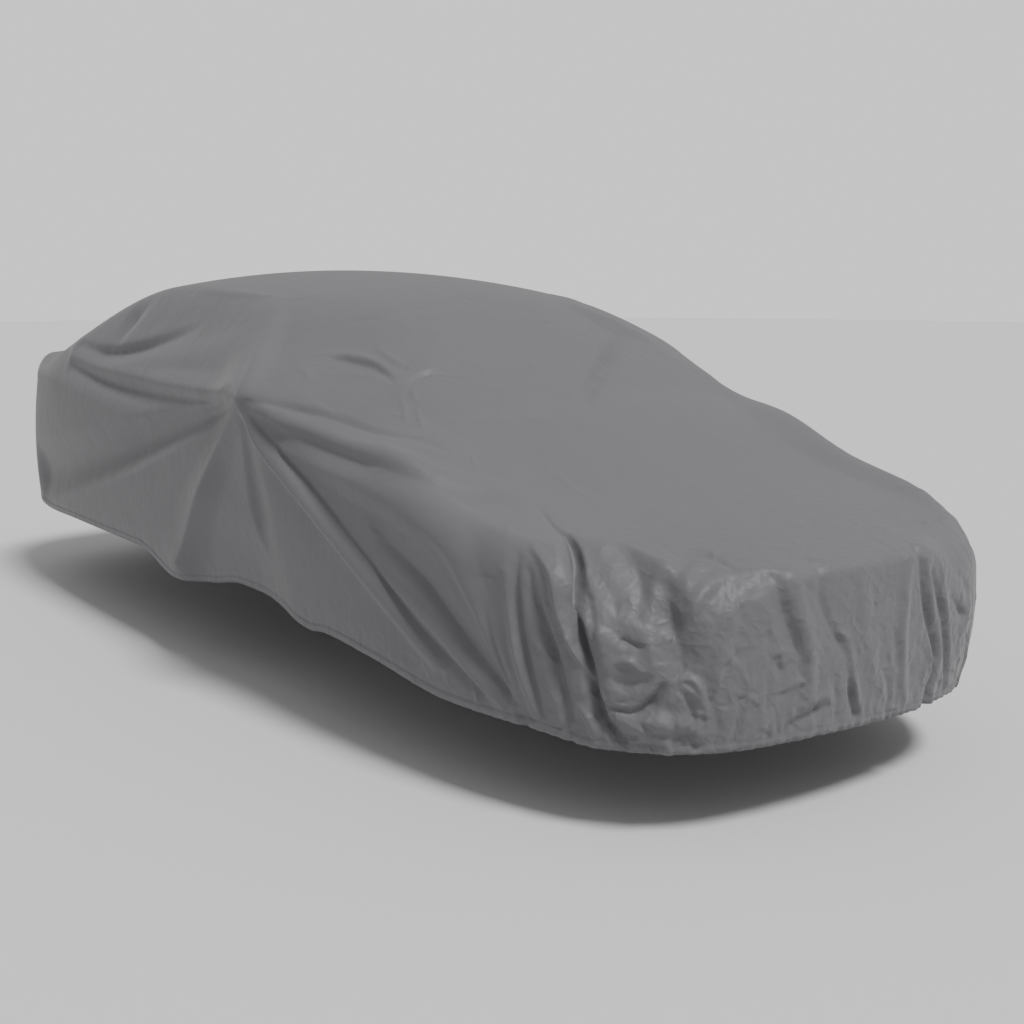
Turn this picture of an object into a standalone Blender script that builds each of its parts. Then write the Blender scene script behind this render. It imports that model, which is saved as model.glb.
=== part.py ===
"""Fitted car cover, draped: one thin cloth with an elastic hem, hollow underneath.

Metres. X runs forward, Y to the left and Z up. The tables below give heights above the ground;
the finished cloth is lowered so that the origin is where the underside of the roof rests.
"""
from collections import namedtuple
import math

import bmesh
import bpy
import numpy as np

# ------------------------------------------------------------------ driving dimensions
sheet_thickness = 0.002
rest_height = 1.4334         # underside of the roof above the ground, at x = 0
half_width = 0.912           # of the plan outline, without the side peaks
columns = 640                # round the plan outline
outline_steps = 60           # points worked out between two rows of the plan outline
skirt_rings = 40             # from the hem up to the shoulder
shoulder_rings = 9           # round the shoulder
top_rings = 90               # from the shoulder in to the spine
drawn_faces = 5000           # faces of one side of the cloth once flat stretches are simplified

# Plan outline, right half, as a share of the half width. It is mirrored for the left.
PlanPoint = namedtuple("PlanPoint", "x share")
plan_points = [
    PlanPoint(2.394, 0.00), PlanPoint(2.379, 0.35), PlanPoint(2.309, 0.62), PlanPoint(2.128, 0.81),
    PlanPoint(1.807, 0.93), PlanPoint(1.305, 0.984), PlanPoint(0.40, 1.00), PlanPoint(-0.79, 1.00),
    PlanPoint(-1.67, 0.957), PlanPoint(-2.12, 0.85), PlanPoint(-2.34, 0.62), PlanPoint(-2.41, 0.32),
    PlanPoint(-2.42, 0.00),
]

# Height of the decks and of the waist along the middle of the cloth.
Deck = namedtuple("Deck", "x height")
deck_profile = [
    Deck(-2.42, 1.022), Deck(-1.90, 1.105), Deck(-1.20, 1.085), Deck(-0.40, 0.99), Deck(0.60, 0.98),
    Deck(1.15, 1.011), Deck(1.60, 0.853), Deck(2.00, 0.781), Deck(2.394, 0.699),
]
deck_crown = 0.0535          # drop of a deck from the middle to deck_half
deck_half = 0.9
shoulder_reach = 0.120       # inward reach of the rounding along the deck's edge
shoulder_drop = 0.114        # its height
peak_drop = 0.045            # the same beside the side peaks, where the cloth is pulled taut
peak_span = 0.45             # how far along the side that lasts
spine_tail = -0.9            # the top's rings close on a spine between these two places
spine_nose = 0.3

# Roof and the four slopes that lead down from it. The drops are reached at run in front of and
# behind the peak, the crown at crown_half and the bows at bow_half.
roof = {
    "height": 1.460, "peak_x": -0.474, "front_x": 0.384, "rear_x": -0.995, "half": 0.675,
    "front_drop": 0.0462, "rear_drop": 0.0633, "crown": 0.05, "edge_drop": 0.075,
    "front_slope": 0.504, "front_bow": 0.148, "rear_slope": 0.426, "rear_bow": 0.12,
    "overhang": 0.10, "run": 0.65, "crown_half": 0.60, "bow_half": 0.65,
}
# Flat cloth between the roof's front corner, the side peak and the foot of the front slope: its
# height at a place beside the peak, and how steeply it rises backwards and inwards from there.
Corner = namedtuple("Corner", "x out height back up")
right_corner = Corner(0.54, 1.0, 1.050, 0.378, 0.475)
left_corner = Corner(0.54, 1.0, 1.078, 0.400, 0.720)
# Steepness of the cloth's fall from the roof's edge to the waist: it eases towards the peaks.
Side = namedtuple("Side", "x slope")
side_line = [
    Side(-2.42, 1.62), Side(-0.50, 1.70), Side(-0.15, 1.50), Side(0.17, 1.18), Side(0.54, 1.00),
    Side(2.40, 1.00),
]
roof_blend = 0.07            # rounding between the roof and its slopes
side_bridge = 0.085          # how far the cloth bridges the foot of a slope

# Height of the hem, from the tail to the nose, on either side.
Hem = namedtuple("Hem", "x right left")
hem_line = [
    Hem(-2.42, 0.368, 0.368), Hem(-1.85, 0.362, 0.372), Hem(-1.25, 0.378, 0.376),
    Hem(-0.56, 0.381, 0.352), Hem(-0.42, 0.360, 0.340), Hem(-0.30, 0.324, 0.344),
    Hem(-0.16, 0.309, 0.358), Hem(0.06, 0.332, 0.349), Hem(0.29, 0.367, 0.316),
    Hem(0.60, 0.358, 0.333), Hem(0.85, 0.324, 0.352), Hem(0.93, 0.333, 0.350),
    Hem(1.21, 0.313, 0.322), Hem(1.58, 0.267, 0.281), Hem(1.92, 0.259, 0.262),
    Hem(2.11, 0.240, 0.236), Hem(2.394, 0.240, 0.228),
]
hem_change = 0.4             # width over which the right side's hem line gives way to the left's
skirt_bulge = 0.011          # how far the skirt bellies out between shoulder and hem
nose_start, nose_length = 1.2, 1.0   # the nose's pull grows over this length
tail_start, tail_length = 1.6, 0.7   # and the tail's over this one
nose_pull = 0.012            # how far the elastic draws the hem in at the nose
far_pull = 0.026             # and at the nose's left corner, on top of that
far_half = 0.6               # where that pull is whole, from the middle
tail_pull = 0.014            # and at the tail
tail_lean = 0.034            # how far the tail leans in at its top
# Powers of the height above the hem: a high one keeps a pull close to its edge.
nose_fade, far_fade, tail_fade, lean_growth = 2, 1.5, 6, 3

# Side peaks: where the cloth is pushed outwards and up from the tight form.
Peak = namedtuple("Peak", "foot tip reach")
peaks = [
    Peak((0.53, -0.905, 1.035), (0.54, -0.985, 1.058), 0.40),
    Peak((0.54, 0.905, 1.040), (0.55, 0.980, 1.062), 0.40),
]

# Folds. A line runs from start by via to end; rise and reach are given at its two ends. A fold
# with a positive rise is a ridge and one with a negative rise a trough. The crest is the flat
# share of its half width, lean sets one foot wider than the other, and a high fade lets the
# rise at the start die away early along the line.
Fold = namedtuple("Fold", "start via end rise reach crest lean fade", defaults=(0.0, 0.0, 1.0))
line_slack = 0.12            # how far off the tight form a fold's line may lie
fold_power = 1.5             # above 1 a fold's flanks are hollow and its crest is crisp
peak_power = 1.6             # the same for a side peak
peak = peaks[0].foot         # the folds of the right side fan out from here
side_folds = [
    # the fall under the peak, a flat facet between two edges
    Fold(peak, (0.40, -0.92, 0.70), (0.27, -0.92, 0.33), (0.004, 0.030), (0.04, 0.40), 0.55, 0.0, 1.4),
    # tension ridges towards the nose
    Fold(peak, (1.08, -0.91, 0.61), (1.81, -0.84, 0.29), (0.022, 0.024), (0.035, 0.06), 0.0, 0.25),
    Fold((0.86, -0.91, 0.74), (1.40, -0.90, 0.50), (1.84, -0.84, 0.28), (0.010, 0.018), (0.04, 0.055)),
    Fold(peak, (1.00, -0.88, 0.96), (1.50, -0.64, 0.87), (0.020, 0.008), (0.05, 0.09), 0.0, -0.2),
    Fold((0.72, -0.90, 0.92), (1.17, -0.90, 0.81), (1.52, -0.89, 0.72), (0.020, 0.010), (0.07, 0.10)),
    # ridge along the waist to the tail, and the broad soft one under it
    Fold(peak, (-0.40, -0.88, 1.02), (-1.50, -0.85, 1.08), (0.020, 0.012), (0.06, 0.11), 0.0, -0.2),
    Fold((0.05, -0.90, 0.88), (-0.70, -0.91, 0.82), (-1.80, -0.86, 0.72), (0.016, 0.008), (0.12, 0.16)),
    Fold(peak, (0.02, -0.91, 0.68), (-0.26, -0.91, 0.36), (0.018, 0.026), (0.05, 0.18), 0.0, 0.2),
    # ridge from the peak up to the corner of the roof
    Fold(peak, (0.32, -0.79, 1.21), (0.17, -0.62, 1.37), (0.014, 0.004), (0.06, 0.09)),
    # troughs between the ridges
    Fold((0.60, -0.90, 0.93), (1.08, -0.91, 0.68), (1.70, -0.87, 0.37), (-0.034, -0.020), (0.04, 0.05)),
    Fold((0.50, -0.91, 0.90), (0.80, -0.92, 0.68), (1.20, -0.91, 0.42), (-0.012, -0.006), (0.05, 0.12)),
    Fold((1.00, -0.90, 0.82), (1.55, -0.88, 0.64), (1.82, -0.85, 0.35), (-0.012, -0.028), (0.09, 0.07)),
    Fold((0.62, -0.88, 1.03), (0.99, -0.83, 1.00), (1.34, -0.67, 0.94), (-0.008, -0.010), (0.03, 0.045)),
    Fold((0.90, -0.90, 0.93), (1.32, -0.86, 0.89), (1.58, -0.70, 0.82), (-0.014, -0.010), (0.05, 0.07)),
    Fold((0.35, -0.90, 0.97), (-0.43, -0.90, 0.95), (-1.42, -0.86, 1.04), (-0.026, -0.014), (0.05, 0.07)),
    Fold((0.25, -0.91, 0.86), (-0.38, -0.92, 0.74), (-1.80, -0.87, 0.50), (-0.026, -0.010), (0.08, 0.16)),
    Fold((0.44, -0.91, 0.88), (0.30, -0.92, 0.72), (0.12, -0.92, 0.46), (-0.014, -0.010), (0.05, 0.10)),
    Fold((-1.34, -0.81, 1.15), (-0.92, -0.82, 1.12), (-0.38, -0.77, 1.22), (-0.022, -0.006), (0.08, 0.08)),
]
corner_folds = [
    # upright ridges and troughs on the front corner of the right side
    Fold((1.74, -0.87, 0.60), (1.81, -0.85, 0.44), (1.88, -0.83, 0.29), (0.005, 0.011), (0.045, 0.045)),
    Fold((1.82, -0.84, 0.72), (1.86, -0.84, 0.48), (1.93, -0.81, 0.29), (0.005, 0.013), (0.045, 0.045)),
    Fold((1.84, -0.82, 0.73), (1.90, -0.83, 0.54), (1.95, -0.81, 0.31), (-0.012, -0.008), (0.045, 0.035)),
    Fold((1.93, -0.82, 0.50), (1.98, -0.81, 0.38), (2.02, -0.78, 0.28), (0.004, 0.013), (0.05, 0.06)),
    Fold((1.91, -0.82, 0.69), (1.98, -0.81, 0.56), (2.04, -0.79, 0.39), (-0.010, -0.006), (0.045, 0.04)),
    Fold((1.90, -0.80, 0.74), (2.01, -0.80, 0.55), (2.12, -0.75, 0.38), (0.010, 0.010), (0.035, 0.035)),
    # the deep lapped fold behind the corner, and the slack cloth in front of it
    Fold((1.78, -0.66, 0.79), (2.06, -0.77, 0.63), (2.14, -0.73, 0.36), (-0.034, -0.046), (0.030, 0.042)),
    Fold((1.86, -0.60, 0.79), (2.12, -0.73, 0.62), (2.18, -0.70, 0.37), (0.010, 0.018), (0.05, 0.05)),
    Fold((2.10, -0.75, 0.58), (2.16, -0.72, 0.57), (2.22, -0.67, 0.54), (-0.014, -0.012), (0.05, 0.045)),
    Fold((2.12, -0.75, 0.50), (2.17, -0.72, 0.48), (2.23, -0.67, 0.48), (0.010, 0.008), (0.035, 0.035)),
    Fold((2.12, -0.75, 0.39), (2.19, -0.69, 0.36), (2.24, -0.66, 0.42), (-0.012, -0.012), (0.045, 0.045)),
    Fold((2.14, -0.73, 0.36), (2.21, -0.68, 0.34), (2.28, -0.60, 0.32), (0.008, 0.012), (0.05, 0.05)),
    # the corner itself: an upright ridge, a broad hollow and the tucked cloth over it
    Fold((2.20, -0.66, 0.67), (2.22, -0.67, 0.53), (2.26, -0.64, 0.38), (0.022, 0.012), (0.04, 0.045)),
    Fold((2.24, -0.61, 0.67), (2.28, -0.61, 0.57), (2.29, -0.60, 0.44), (-0.050, -0.024), (0.07, 0.08)),
    Fold((2.27, -0.43, 0.70), (2.29, -0.53, 0.66), (2.29, -0.58, 0.60), (0.008, 0.014), (0.045, 0.045)),
    Fold((2.22, -0.58, 0.71), (2.22, -0.50, 0.715), (2.26, -0.43, 0.71), (-0.010, -0.006), (0.04, 0.04)),
]
front_folds = [
    # upright folds across the nose
    Fold((2.33, -0.42, 0.66), (2.35, -0.47, 0.58), (2.35, -0.50, 0.40), (0.014, 0.011), (0.054, 0.063)),
    Fold((2.34, -0.34, 0.67), (2.37, -0.33, 0.60), (2.39, -0.28, 0.46), (-0.020, -0.011), (0.045, 0.041)),
    Fold((2.35, -0.26, 0.66), (2.38, -0.25, 0.52), (2.39, -0.22, 0.30), (0.007, 0.014), (0.045, 0.050)),
    Fold((2.35, -0.18, 0.67), (2.39, -0.18, 0.57), (2.40, -0.12, 0.45), (-0.019, -0.012), (0.045, 0.041)),
    Fold((2.39, -0.07, 0.60), (2.39, -0.06, 0.45), (2.39, -0.01, 0.29), (0.007, 0.014), (0.050, 0.050)),
    Fold((2.35, 0.10, 0.67), (2.38, 0.08, 0.62), (2.39, 0.06, 0.52), (-0.014, -0.004), (0.072, 0.063)),
    Fold((2.35, 0.22, 0.67), (2.39, 0.19, 0.52), (2.39, 0.18, 0.30), (-0.020, -0.014), (0.041, 0.041)),
    Fold((2.36, 0.30, 0.64), (2.37, 0.33, 0.48), (2.36, 0.36, 0.30), (0.010, 0.014), (0.041, 0.045)),
    Fold((2.33, 0.44, 0.62), (2.33, 0.48, 0.48), (2.33, 0.50, 0.32), (-0.017, -0.012), (0.045, 0.045)),
]
slope_folds = [
    # slack cloth on the front slope, and the sagging fold from its far corner
    Fold((0.70, -0.76, 1.16), (0.75, -0.66, 1.175), (0.90, -0.60, 1.11), (-0.012, -0.014), (0.05, 0.045)),
    Fold((0.64, -0.66, 1.23), (0.72, -0.58, 1.21), (0.86, -0.52, 1.15), (0.012, 0.008), (0.055, 0.05)),
    Fold((0.92, -0.56, 1.10), (0.94, -0.46, 1.115), (0.99, -0.32, 1.10), (-0.010, -0.005), (0.045, 0.045)),
    Fold((1.10, -0.58, 1.00), (1.16, -0.36, 1.02), (1.24, -0.14, 1.01), (0.008, 0.008), (0.07, 0.07)),
    Fold((0.62, 0.60, 1.24), (0.92, 0.25, 1.15), (1.20, -0.16, 1.03), (0.014, 0.008), (0.07, 0.055)),
    Fold((0.70, 0.44, 1.24), (0.97, 0.14, 1.14), (1.14, -0.12, 1.06), (-0.010, -0.006), (0.065, 0.055)),
    Fold((0.76, 0.54, 1.20), (1.05, 0.17, 1.09), (1.22, -0.06, 1.03), (-0.014, -0.008), (0.065, 0.055)),
]
# The left side hangs from its own peak, with fewer folds in other places.
left_peak = peaks[1].foot
left_folds = [
    Fold(left_peak, (0.56, 0.92, 0.70), (0.60, 0.92, 0.33), (0.004, 0.026), (0.05, 0.36), 0.5, 0.0, 1.4),
    Fold(left_peak, (1.14, 0.91, 0.60), (1.74, 0.85, 0.31), (0.032, 0.014), (0.04, 0.08), 0.0, -0.2),
    Fold(left_peak, (1.00, 0.88, 0.90), (1.50, 0.84, 0.78), (0.022, 0.006), (0.06, 0.10), 0.0, 0.2),
    Fold(left_peak, (-0.35, 0.89, 1.00), (-1.50, 0.86, 1.06), (0.026, 0.008), (0.07, 0.12), 0.0, 0.2),
    Fold(left_peak, (0.05, 0.92, 0.68), (-0.44, 0.92, 0.36), (0.024, 0.020), (0.05, 0.18)),
    Fold(left_peak, (0.32, 0.77, 1.21), (0.18, 0.62, 1.37), (0.012, 0.004), (0.06, 0.09)),
    Fold((0.62, 0.90, 0.90), (1.20, 0.91, 0.68), (1.72, 0.87, 0.42), (-0.024, -0.010), (0.05, 0.07)),
    Fold((0.30, 0.91, 0.88), (-0.60, 0.92, 0.70), (-1.70, 0.88, 0.56), (-0.022, -0.010), (0.09, 0.16)),
    Fold((0.40, 0.90, 0.96), (-0.50, 0.90, 0.93), (-1.40, 0.87, 1.02), (-0.020, -0.010), (0.05, 0.07)),
    Fold((-1.30, 0.81, 1.15), (-0.90, 0.82, 1.12), (-0.42, 0.77, 1.21), (-0.020, -0.006), (0.08, 0.08)),
    Fold((1.20, 0.80, 0.95), (1.56, 0.80, 0.87), (1.88, 0.76, 0.80), (0.014, 0.032), (0.18, 0.13)),
    Fold((1.84, 0.84, 0.70), (1.92, 0.83, 0.50), (1.98, 0.80, 0.29), (0.005, 0.012), (0.05, 0.06)),
    Fold((1.80, 0.74, 0.76), (2.02, 0.80, 0.60), (2.10, 0.77, 0.32), (-0.014, -0.018), (0.045, 0.05)),
]
# Upright gathers at the tail: y of the fold, its drift across, and its rise at the hem.
Gather = namedtuple("Gather", "y drift rise")
tail_gathers = [
    Gather(-0.62, 0.05, 0.014), Gather(-0.44, -0.04, -0.013), Gather(-0.24, 0.03, 0.012),
    Gather(-0.05, -0.04, -0.011), Gather(0.16, 0.05, 0.014), Gather(0.37, -0.03, -0.013),
    Gather(0.58, 0.05, 0.014),
]
Station = namedtuple("Station", "x drift height")
tail_line = [Station(-2.37, 0.0, 0.92), Station(-2.42, 0.5, 0.66), Station(-2.40, 1.0, 0.38)]
gather_top = 0.4             # share of a gather's rise at the deck's edge
gather_reach = (0.07, 0.08)

# Mesh clean-up: far below the spacing of the points.
spine_merge = 0.0005
sliver = 0.0002


# ------------------------------------------------------------------ the unfolded form
def along(x, rows, column):
    """Height at x on a smooth, unwavering curve through one column of a table."""
    knots = np.array([row.x for row in rows])
    values = np.array([getattr(row, column) for row in rows])
    slopes = np.diff(values) / np.diff(knots)
    same_way = slopes[1:] * slopes[:-1] > 0
    steady = 2 * slopes[1:] * slopes[:-1] / np.where(same_way, slopes[1:] + slopes[:-1], 1.0)
    tangent = np.concatenate(([slopes[0]], np.where(same_way, steady, 0.0), [slopes[-1]]))
    x = np.clip(x, knots[0], knots[-1])
    i = np.clip(np.searchsorted(knots, x) - 1, 0, len(knots) - 2)
    step = knots[i + 1] - knots[i]
    t = (x - knots[i]) / step
    return ((1 + 2 * t) * (1 - t) ** 2 * values[i] + t * (1 - t) ** 2 * step * tangent[i]
            + t * t * (3 - 2 * t) * values[i + 1] + t * t * (t - 1) * step * tangent[i + 1])


def lower_of(a, b, blend):
    """The lower of two heights, with a rounded change from one to the other."""
    share = np.clip(0.5 + 0.5 * (b - a) / blend, 0, 1)
    return b * (1 - share) + a * share - blend * share * (1 - share)


def higher_of(a, b, blend):
    return -lower_of(-a, -b, blend)


def top_height(x, y):
    """Height of the tight cloth over the decks and the roof, before any fold."""
    deck = along(x, deck_profile, "height") - deck_crown * (y / deck_half) ** 2
    from_peak = (x - roof["peak_x"]) / roof["run"]
    drop = np.where(from_peak > 0, roof["front_drop"], roof["rear_drop"])
    crown = roof["height"] - drop * from_peak ** 2 - roof["crown"] * (y / roof["crown_half"]) ** 2
    edge = roof["height"] - roof["edge_drop"]
    bow = (y / roof["bow_half"]) ** 2
    front_x = roof["front_x"] + roof["overhang"] - roof["front_bow"] * bow
    rear_x = roof["rear_x"] - roof["overhang"] + roof["rear_bow"] * bow
    front = edge + (front_x - x) * roof["front_slope"]
    rear = edge + (x - rear_x) * roof["rear_slope"]
    side = edge + (roof["half"] - np.abs(y)) * along(x, side_line, "slope")
    corners = []
    for plane in (right_corner, left_corner):
        corners.append(plane.height + plane.back * (plane.x - x) + plane.up * (plane.out - np.abs(y)))
    corner = np.where(y < 0, corners[0], corners[1])
    cabin = lower_of(lower_of(crown, front, roof_blend), lower_of(rear, side, roof_blend), roof_blend)
    cabin = lower_of(cabin, corner, roof_blend)
    return higher_of(deck, cabin, side_bridge)


def plan_outline():
    """Evenly spaced points of the plan outline, from the nose round by the right side."""
    right = [(p.x, -p.share * half_width) for p in plan_points]
    left = [(x, -y) for x, y in right[-2:0:-1]]
    knots = np.array(right + left)
    before, after, beyond = np.roll(knots, 1, 0), np.roll(knots, -1, 0), np.roll(knots, -2, 0)
    span = np.linalg.norm(after - knots, axis=1)[:, None]
    leave = (after - before) / (span + np.roll(span, 1, 0)) * span
    arrive = (beyond - knots) / (span + np.roll(span, -1, 0)) * span
    pieces = []
    for t in np.linspace(0, 1, outline_steps, endpoint=False):
        pieces.append((2 * t**3 - 3 * t**2 + 1) * knots + (t**3 - 2 * t**2 + t) * leave
                      + (3 * t**2 - 2 * t**3) * after + (t**3 - t**2) * arrive)
    curve = np.stack(pieces, axis=1).reshape(-1, 2)
    closed = np.vstack([curve, curve[:1]])
    length = np.concatenate(([0.0], np.cumsum(np.linalg.norm(np.diff(closed, axis=0), axis=1))))
    stations = np.linspace(0, length[-1], columns, endpoint=False)
    return np.interp(stations, length, closed[:, 0]), np.interp(stations, length, closed[:, 1])


def tight_rings():
    """Rings of points from the hem up the skirt, round the shoulder and in to the spine."""
    x, y = plan_outline()
    spine_x = np.clip(x, spine_tail, spine_nose)
    reach = np.hypot(spine_x - x, y)
    inward = np.stack([(spine_x - x) / reach, -y / reach])
    taut = np.clip(1 - np.abs(x - peaks[0].tip[0]) / peak_span, 0, 1) ** 2
    drop = shoulder_drop + (peak_drop - shoulder_drop) * taut * (3 - 2 * taut)
    foot = top_height(x, y) - drop
    right_share = np.clip(0.5 - y / hem_change, 0, 1)
    hem = (along(x, hem_line, "right") * right_share + along(x, hem_line, "left") * (1 - right_share))
    at_nose = np.clip((x - nose_start) / nose_length, 0, 1)
    at_tail = np.clip((-x - tail_start) / tail_length, 0, 1)
    rings = []
    for up in np.linspace(0, 1, skirt_rings, endpoint=False):
        out = skirt_bulge * math.sin(math.pi * up) - nose_pull * at_nose * (1 - up) ** nose_fade
        out = out - far_pull * at_nose * np.clip(y / far_half, 0, 1) * (1 - up) ** far_fade
        out = out - tail_pull * at_tail * (1 - up) ** tail_fade - tail_lean * at_tail * up ** lean_growth
        rings.append((x - inward[0] * out, y - inward[1] * out, hem + (foot - hem) * up))
    for turn in np.linspace(0, math.pi / 2, shoulder_rings, endpoint=False):
        step = tail_lean * at_tail + (shoulder_reach - tail_lean * at_tail) * (1 - math.cos(turn))
        rx, ry = x + inward[0] * step, y + inward[1] * step
        rings.append((rx, ry, top_height(rx, ry) - drop * (1 - math.sin(turn))))
    for share in np.linspace(0, 1, top_rings):
        step = shoulder_reach + (reach - shoulder_reach) * share
        rx, ry = x + inward[0] * step, y + inward[1] * step
        rings.append((rx, ry, top_height(rx, ry)))
    return [np.stack(ring, axis=1) for ring in rings]


# ------------------------------------------------------------------ folds
def fold_line(fold, count=14):
    """Points of the fold's line, a parabola through its three given points."""
    t = np.linspace(0, 1, count)[:, None]
    start, via, end = (np.array(p) for p in (fold.start, fold.via, fold.end))
    return start * (1 - t) * (1 - 2 * t) + via * 4 * t * (1 - t) + end * t * (2 * t - 1)


def fold_rise(points, normals, fold):
    """How far the fold lifts each point off the tight form.

    The gap to the fold's line is measured along the surface, and a line may lie a little above
    or below the surface without counting as further off.
    """
    line = fold_line(fold)
    nearest = np.full(len(points), np.inf)
    place = np.zeros(len(points))
    side = np.zeros(len(points))
    for i in range(len(line) - 1):
        away = points - line[i]
        height = np.sum(away * normals, axis=1)
        run = line[i + 1] - line[i]
        flat_run = run - normals * (normals @ run)[:, None]
        flat_away = away - normals * height[:, None]
        length = np.maximum(np.sum(flat_run**2, axis=1), 1e-12)
        t = np.clip(np.sum(flat_away * flat_run, axis=1) / length, 0, 1)
        flat = flat_away - t[:, None] * flat_run
        beyond = np.maximum(np.abs(height - t * (normals @ run)) - line_slack, 0)
        distance = np.sqrt(np.sum(flat**2, axis=1) + beyond**2)
        closer = distance < nearest
        nearest = np.where(closer, distance, nearest)
        place = np.where(closer, (i + t) / (len(line) - 1), place)
        side = np.where(closer, np.sign(np.sum(np.cross(run, normals) * flat, axis=1)), side)
    rise = fold.rise[1] + (fold.rise[0] - fold.rise[1]) * (1 - place) ** fold.fade
    reach = (fold.reach[0] + (fold.reach[1] - fold.reach[0]) * place) * (1 + fold.lean * side)
    share = np.clip((nearest / reach - fold.crest) / (1 - fold.crest), 0, 1)
    return rise * (1 - share) ** fold_power


def tail_fold(gather):
    """A gather of the tail as a fold: it grows from the deck's edge down to the hem."""
    line = [(place.x, gather.y + gather.drift * place.drift, place.height) for place in tail_line]
    return Fold(*line, (gather.rise * gather_top, gather.rise), gather_reach)


def folded(points, normals):
    """The points with every fold: the highest ridge and the deepest trough at each."""
    folds = side_folds + corner_folds + front_folds + slope_folds + left_folds
    folds = folds + [tail_fold(gather) for gather in tail_gathers]
    ridge = np.zeros(len(points))
    trough = np.zeros(len(points))
    for fold in folds:
        rise = fold_rise(points, normals, fold)
        ridge = np.maximum(ridge, rise)
        trough = np.minimum(trough, rise)
    moved = points + normals * (ridge + trough)[:, None]
    for peak_pull in peaks:
        foot, tip = np.array(peak_pull.foot), np.array(peak_pull.tip)
        share = np.clip(1 - np.linalg.norm(points - foot, axis=1) / peak_pull.reach, 0, 1)
        moved += (tip - foot) * share[:, None] ** peak_power
    return moved


# ------------------------------------------------------------------ the cloth
def clear_scene():
    for obj in list(bpy.data.objects):
        bpy.data.objects.remove(obj, do_unlink=True)


def cloth_material():
    material = bpy.data.materials.new("nonwoven_grey")
    material.use_nodes = True
    shader = material.node_tree.nodes["Principled BSDF"]
    shader.inputs["Base Color"].default_value = (0.135, 0.135, 0.142, 1.0)
    shader.inputs["Roughness"].default_value = 0.62
    shader.inputs["Metallic"].default_value = 0.0
    return material


def sheet_mesh():
    """The outer face of the cloth as one open mesh."""
    rings = tight_rings()
    bm = bmesh.new()
    rows = [[bm.verts.new(point) for point in ring] for ring in rings]
    for lower, upper in zip(rows, rows[1:]):
        for i in range(columns):
            j = (i + 1) % columns
            bm.faces.new((lower[j], lower[i], upper[i], upper[j]))
    bmesh.ops.remove_doubles(bm, verts=rows[-1], dist=spine_merge)
    bmesh.ops.dissolve_degenerate(bm, edges=bm.edges[:], dist=sliver)
    bmesh.ops.triangulate(bm, faces=bm.faces[:])
    bmesh.ops.recalc_face_normals(bm, faces=bm.faces[:])
    bm.normal_update()
    points = np.array([vert.co[:] for vert in bm.verts])
    normals = np.array([vert.normal[:] for vert in bm.verts])
    for vert, place in zip(bm.verts, folded(points, normals)):
        vert.co = (place[0], place[1], place[2] - rest_height)
    mesh = bpy.data.meshes.new("cover")
    bm.to_mesh(mesh)
    bm.free()
    return mesh


def build_cover():
    mesh = sheet_mesh()
    cover = bpy.data.objects.new("cover", mesh)
    bpy.context.scene.collection.objects.link(cover)
    mesh.materials.append(cloth_material())
    simplify = cover.modifiers.new("simplify", "DECIMATE")
    simplify.ratio = drawn_faces / len(mesh.polygons)
    thicken = cover.modifiers.new("thickness", "SOLIDIFY")
    thicken.thickness = sheet_thickness
    thicken.offset = -1.0
    thicken.use_even_offset = True
    mesh.shade_smooth()
    return cover


clear_scene()
build_cover()
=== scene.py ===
import math
from collections import namedtuple

import bmesh
import bpy
import numpy as np
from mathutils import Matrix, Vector


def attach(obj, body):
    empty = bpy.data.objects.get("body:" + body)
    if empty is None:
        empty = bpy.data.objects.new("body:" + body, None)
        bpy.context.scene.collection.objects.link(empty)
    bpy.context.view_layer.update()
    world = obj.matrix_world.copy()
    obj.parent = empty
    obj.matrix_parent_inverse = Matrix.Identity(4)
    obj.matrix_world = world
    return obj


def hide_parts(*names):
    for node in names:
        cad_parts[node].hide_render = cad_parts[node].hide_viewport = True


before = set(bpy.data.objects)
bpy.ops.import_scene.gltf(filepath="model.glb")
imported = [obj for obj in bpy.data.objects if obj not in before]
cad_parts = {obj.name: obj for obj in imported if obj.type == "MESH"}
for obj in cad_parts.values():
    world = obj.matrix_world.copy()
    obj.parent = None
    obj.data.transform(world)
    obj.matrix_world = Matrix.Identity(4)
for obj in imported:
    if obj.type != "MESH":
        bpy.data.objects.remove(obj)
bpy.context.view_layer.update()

print("frame loaded")

# The origin is the underside of the roof. The tables below give heights above the ground.
restHeight = 1.4334


# Camera.
camera = {
    "place": (4.9174, -3.1151, 1.5281),
    "heading": 143.424,   # degrees from +X
    "tilt": 10.079,       # degrees downwards
    "lens": 51.056,
}


def makeCamera():
    heading = math.radians(camera["heading"])
    tilt = math.radians(camera["tilt"])
    forward = Vector((math.cos(heading) * math.cos(tilt), math.sin(heading) * math.cos(tilt),
                      -math.sin(tilt)))
    data = bpy.data.cameras.new("camera")
    data.sensor_width = 36
    data.lens = camera["lens"]
    eye = bpy.data.objects.new("camera", data)
    eye.location = Vector(camera["place"]) - Vector((0, 0, restHeight))
    eye.rotation_euler = forward.to_track_quat("-Z", "Y").to_euler()
    bpy.context.scene.collection.objects.link(eye)
    bpy.context.scene.camera = eye


makeCamera()
print("camera set")


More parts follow.
